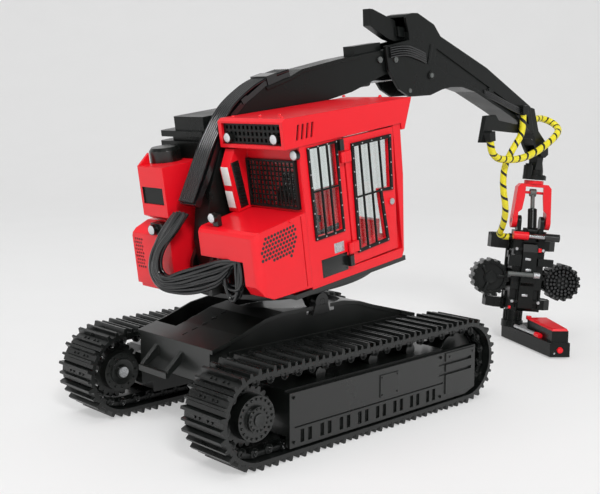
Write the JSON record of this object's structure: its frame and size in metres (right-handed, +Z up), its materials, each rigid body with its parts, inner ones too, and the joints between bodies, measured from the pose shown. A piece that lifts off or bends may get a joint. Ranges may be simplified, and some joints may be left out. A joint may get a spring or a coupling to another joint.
{
  "type": "tracked forestry harvester scale model",
  "caption": "Scale model of a tracked, levelling forestry harvester with a cab, slewing upper, curved boom, stick and a hanging harvesting head.",
  "frame": {"origin": "mouth of the stand's screw hole in the belly, under the slew axis", "axes": "+X forward along the tracks towards the idlers, +Y left, +Z up"},
  "size_m": [0.1764, 0.066, 0.1048],
  "materials": {
    "air_cleaner": "satin black paint",
    "base_hoses": "black hose",
    "boom": "satin black paint",
    "boom_cylinder_barrel": "satin black paint",
    "boom_cylinder_rod": "bright rod",
    "cab_console": "gloss red paint",
    "cab_door": "gloss red paint",
    "cab_glazing": "clear window",
    "cab_roof": "gloss red paint",
    "cab_seat": "satin black paint",
    "cab_shell": "gloss red paint",
    "carbody": "satin black paint",
    "door_glass": "clear window",
    "door_guard": "satin black paint",
    "door_hinges": "satin black paint",
    "engine_body": "gloss red paint",
    "engine_top_block": "satin black paint",
    "engine_upper_box": "gloss red paint",
    "feed_arm_left": "satin black paint",
    "feed_arm_right": "satin black paint",
    "feed_roller_left": "satin black paint",
    "feed_roller_right": "satin black paint",
    "final_drive_left": "satin black paint",
    "final_drive_right": "satin black paint",
    "head_bars": "bright bar",
    "head_frame": "satin black paint",
    "head_link": "gloss red paint",
    "hose_ribbon": "black hose",
    "idler_left": "satin black paint",
    "idler_right": "satin black paint",
    "knife_cylinder": "satin black paint",
    "levelling_table": "satin black paint",
    "lower_knife_left": "satin black paint",
    "lower_knife_right": "satin black paint",
    "rear_hood": "gloss red paint",
    "revolving_frame": "satin black paint",
    "roof_grille": "satin black paint",
    "rotator": "satin black paint",
    "saw_cover": "gloss red paint",
    "stick": "satin black paint",
    "stick_cylinder_barrel": "satin black paint",
    "stick_cylinder_rod": "bright rod",
    "tilt_cylinder_barrel": "satin black paint",
    "tilt_cylinder_rod": "bright rod",
    "tilt_frame": "gloss red paint",
    "track_frame_left": "satin black paint",
    "track_frame_right": "satin black paint",
    "track_left": "satin black",
    "track_right": "satin black",
    "upper_knife_left": "satin black paint",
    "upper_knife_right": "satin black paint",
    "window_guards": "satin black paint",
    "work_lamps": "white lamp lens",
    "yellow_hose_long": "yellow hose with black bands",
    "yellow_hose_loop": "yellow hose with black bands"
  },
  "bodies": {
    "undercarriage": {"carbody": "carbody", "final_drive_left": "final_drive_left", "final_drive_right": "final_drive_right", "idler_left": "idler_left", "idler_right": "idler_right", "track_frame_left": "track_frame_left", "track_frame_right": "track_frame_right", "track_left": "track_left", "track_right": "track_right"},
    "upper": {"air_cleaner": "air_cleaner", "base_hoses": "base_hoses", "cab_console": "cab_console", "cab_glazing": "cab_glazing", "cab_roof": "cab_roof", "cab_seat": "cab_seat", "cab_shell": "cab_shell", "door_hinges": "door_hinges", "engine_body": "engine_body", "engine_top_block": "engine_top_block", "engine_upper_box": "engine_upper_box", "rear_hood": "rear_hood", "revolving_frame": "revolving_frame", "roof_grille": "roof_grille", "window_guards": "window_guards", "work_lamps": "work_lamps"},
    "table": {"levelling_table": "levelling_table"},
    "door": {"cab_door": "cab_door", "door_guard": "door_guard", "door_glass": "door_glass"},
    "boom": {"boom": "boom", "hose_ribbon": "hose_ribbon"},
    "boom_barrel": {"boom_cylinder_barrel": "boom_cylinder_barrel"},
    "boom_rod": {"boom_cylinder_rod": "boom_cylinder_rod"},
    "stick": {"stick": "stick", "yellow_hose_long": "yellow_hose_long", "yellow_hose_loop": "yellow_hose_loop"},
    "stick_barrel": {"stick_cylinder_barrel": "stick_cylinder_barrel"},
    "stick_rod": {"stick_cylinder_rod": "stick_cylinder_rod"},
    "link": {"head_link": "head_link", "rotator": "rotator"},
    "tilt_frame": {"tilt_frame": "tilt_frame"},
    "head": {"head_frame": "head_frame", "knife_cylinder": "knife_cylinder", "head_bars": "head_bars", "saw_cover": "saw_cover"},
    "tilt_barrel": {"tilt_cylinder_barrel": "tilt_cylinder_barrel"},
    "tilt_rod": {"tilt_cylinder_rod": "tilt_cylinder_rod"},
    "feed_arm_left": {"feed_arm_left": "feed_arm_left"},
    "feed_roller_left": {"feed_roller_left": "feed_roller_left"},
    "upper_knife_left": {"upper_knife_left": "upper_knife_left"},
    "lower_knife_left": {"lower_knife_left": "lower_knife_left"},
    "feed_arm_right": {"feed_arm_right": "feed_arm_right"},
    "feed_roller_right": {"feed_roller_right": "feed_roller_right"},
    "upper_knife_right": {"upper_knife_right": "upper_knife_right"},
    "lower_knife_right": {"lower_knife_right": "lower_knife_right"}
  },
  "joints": [
    {"name": "table_tilt", "type": "hinge", "parent": "undercarriage", "child": "table", "pos_m": [0, 0, 0.019], "axis": [0, -1, 0], "range_deg": [-8, 5]},
    {"name": "slew", "type": "hinge", "parent": "table", "child": "upper", "pos_m": [0, 0, 0.025], "axis": [-0.1392, 0, 0.9903], "continuous": true},
    {"name": "door_hinge", "type": "hinge", "parent": "upper", "child": "door", "pos_m": [-0.00367, -0.0267, 0.04468], "axis": [0.1392, 0, -0.9903], "range_deg": [0, 95]},
    {"name": "boom_lift", "type": "hinge", "parent": "upper", "child": "boom", "pos_m": [-0.02304, 0, 0.03085], "axis": [0, -1, 0], "range_deg": [-22, 12], "deforming": ["base_hoses"]},
    {"name": "boom_cylinder_pivot", "type": "hinge", "parent": "upper", "child": "boom_barrel", "pos_m": [0.00318, 0, 0.0311], "axis": [0, -1, 0], "range_deg": [-23.8, 13.26]},
    {"name": "boom_cylinder_slide", "type": "slide", "parent": "boom_barrel", "child": "boom_rod", "axis": [-0.079, 0, 0.9969], "range_m": [-0.01038, 0.00584]},
    {"name": "stick_fold", "type": "hinge", "parent": "boom", "child": "stick", "pos_m": [0.04322, 0, 0.08035], "axis": [0, 1, 0], "range_deg": [-3, 50]},
    {"name": "stick_cylinder_pivot", "type": "hinge", "parent": "boom", "child": "stick_barrel", "pos_m": [0.00555, 0, 0.07173], "axis": [0, -1, 0], "range_deg": [-3.05, 0.75]},
    {"name": "stick_cylinder_slide", "type": "slide", "parent": "stick_barrel", "child": "stick_rod", "axis": [0.9951, 0, 0.099], "range_m": [-0.00531, 0.00069]},
    {"name": "head_swing", "type": "hinge", "parent": "stick", "child": "link", "pos_m": [0.11488, 0, 0.05256], "axis": [0, -1, 0], "range_deg": [-20, 40], "deforming": ["yellow_hose_long"]},
    {"name": "head_rotator", "type": "hinge", "parent": "link", "child": "tilt_frame", "pos_m": [0.11488, 0, 0.05256], "axis": [0.1132, 0, 0.9936], "continuous": true},
    {"name": "head_tilt", "type": "hinge", "parent": "tilt_frame", "child": "head", "pos_m": [0.11217, 0, 0.02871], "axis": [-0.7267, 0.682, 0.0828], "range_deg": [0, 60]},
    {"name": "tilt_cylinder_pivot", "type": "hinge", "parent": "head", "child": "tilt_barrel", "pos_m": [0.10912, -0.00293, 0.02604], "axis": [0.7267, -0.682, -0.0828], "range_deg": [-0.6, 45.84]},
    {"name": "tilt_cylinder_slide", "type": "slide", "parent": "tilt_barrel", "child": "tilt_rod", "axis": [0.3102, 0.2181, 0.9253], "range_m": [-0.00447, 0.0004]},
    {"name": "feed_arm_left_swing", "type": "hinge", "parent": "head", "child": "feed_arm_left", "pos_m": [0.10969, 0.00763, 0.00937], "axis": [-0.1132, 0, -0.9936], "range_deg": [0, 60]},
    {"name": "feed_roller_left_spin", "type": "hinge", "parent": "feed_arm_left", "child": "feed_roller_left", "pos_m": [0.10124, 0.00818, 0.01033], "axis": [0.6776, 0.7314, -0.0772], "continuous": true},
    {"name": "upper_knife_left_swing", "type": "hinge", "parent": "head", "child": "upper_knife_left", "pos_m": [0.11104, 0.00763, 0.02119], "axis": [0.1132, 0, 0.9936], "range_deg": [-15, 30]},
    {"name": "lower_knife_left_swing", "type": "hinge", "parent": "head", "child": "lower_knife_left", "pos_m": [0.10869, 0.00763, 0.00052], "axis": [0.1132, 0, 0.9936], "range_deg": [-15, 30]},
    {"name": "feed_arm_right_swing", "type": "hinge", "parent": "head", "child": "feed_arm_right", "pos_m": [0.11754, 0.00027, 0.00847], "axis": [0.1132, 0, 0.9936], "range_deg": [0, 60]},
    {"name": "feed_roller_right_spin", "type": "hinge", "parent": "feed_arm_right", "child": "feed_roller_right", "pos_m": [0.11868, -0.00818, 0.00834], "axis": [0.6776, 0.7314, -0.0772], "continuous": true},
    {"name": "upper_knife_right_swing", "type": "hinge", "parent": "head", "child": "upper_knife_right", "pos_m": [0.11889, 0.00027, 0.0203], "axis": [-0.1132, 0, -0.9936], "range_deg": [-15, 30]},
    {"name": "lower_knife_right_swing", "type": "hinge", "parent": "head", "child": "lower_knife_right", "pos_m": [0.11653, 0.00027, -0.00037], "axis": [-0.1132, 0, -0.9936], "range_deg": [-15, 30]}
  ],
  "couplings": [
    {"joint": "boom_cylinder_pivot", "follows": "boom_lift", "ratio": 1.0546},
    {"joint": "boom_cylinder_slide", "follows": "boom_lift", "m_per_rad": 0.025984},
    {"joint": "stick_cylinder_pivot", "follows": "stick_fold", "ratio": -0.049},
    {"joint": "stick_cylinder_slide", "follows": "stick_fold", "m_per_rad": -0.00563},
    {"joint": "tilt_cylinder_pivot", "follows": "head_tilt", "ratio": 0.754},
    {"joint": "tilt_cylinder_slide", "follows": "head_tilt", "m_per_rad": -0.003885}
  ]
}
